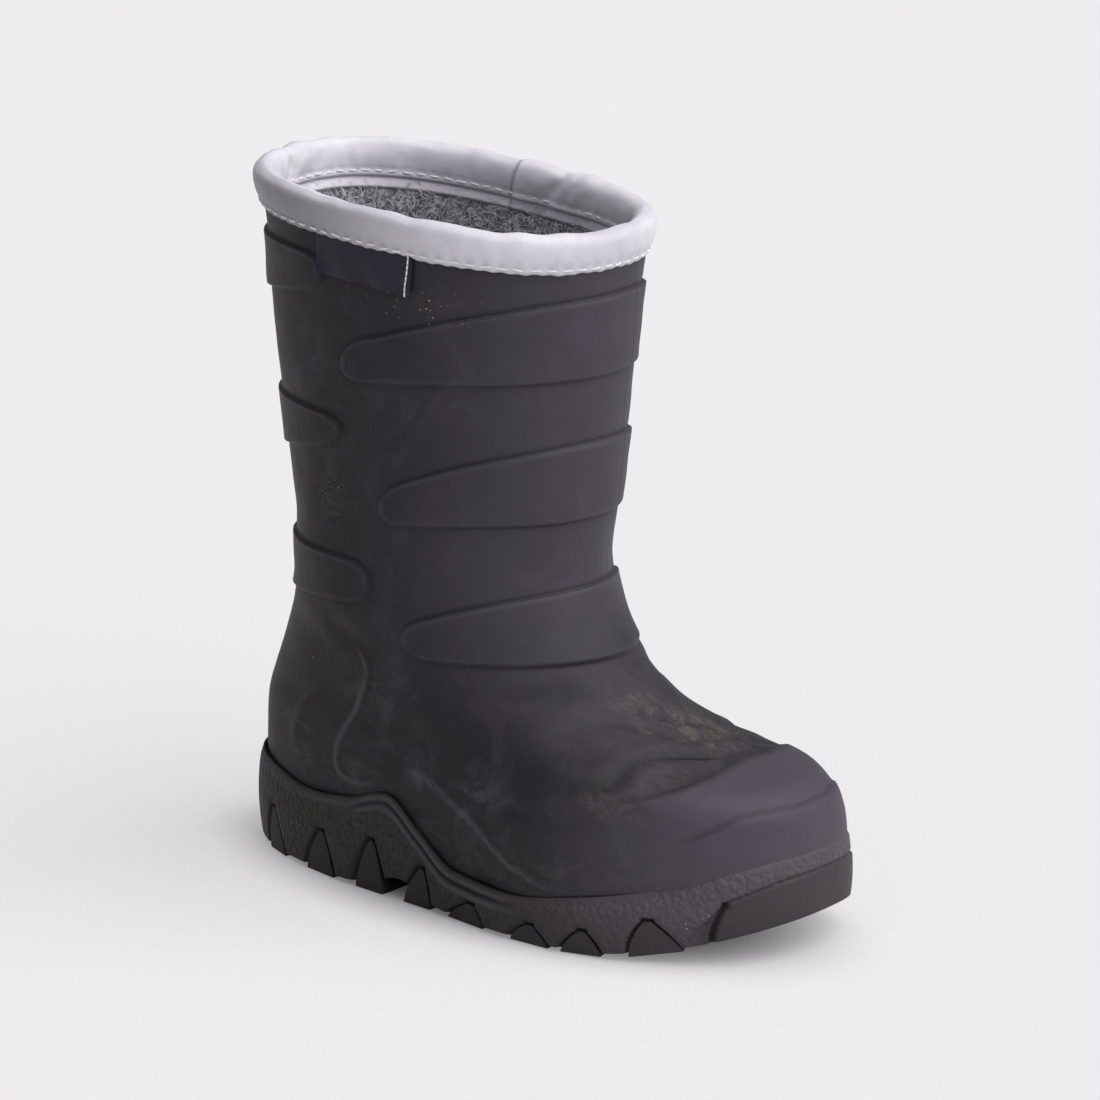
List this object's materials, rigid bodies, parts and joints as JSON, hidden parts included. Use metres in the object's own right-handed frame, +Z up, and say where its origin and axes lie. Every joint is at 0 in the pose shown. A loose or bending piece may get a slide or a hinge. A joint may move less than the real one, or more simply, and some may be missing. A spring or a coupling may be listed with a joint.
{
  "type": "lined rubber boot",
  "caption": "Pull-on moulded rubber boot for a child's right foot, with a lugged cup sole, raised bands on the shaft, a felt lining and a folded cloth binding at the collar.",
  "frame": {"origin": "centre of the bounding box at the floor, under the sole", "axes": "+Z up to the collar, -Y to the toe, -X to the outer side of the right foot"},
  "size_m": [0.0872, 0.1916, 0.2036],
  "materials": {
    "shell_rubber": "matte moulded rubber, slightly dusty",
    "tread_rubber": "matte pebbled rubber",
    "binding_cloth": "smooth woven binding, light grey",
    "lining_felt": "needled felt, charcoal with pale fibres",
    "tab_weave": "flat woven tab, navy, blank"
  },
  "bodies": {
    "root": {"upper": "shell_rubber", "outsole": "tread_rubber", "collar_binding": "binding_cloth", "insole": "lining_felt", "side_tab": "tab_weave"}
  },
  "joints": []
}
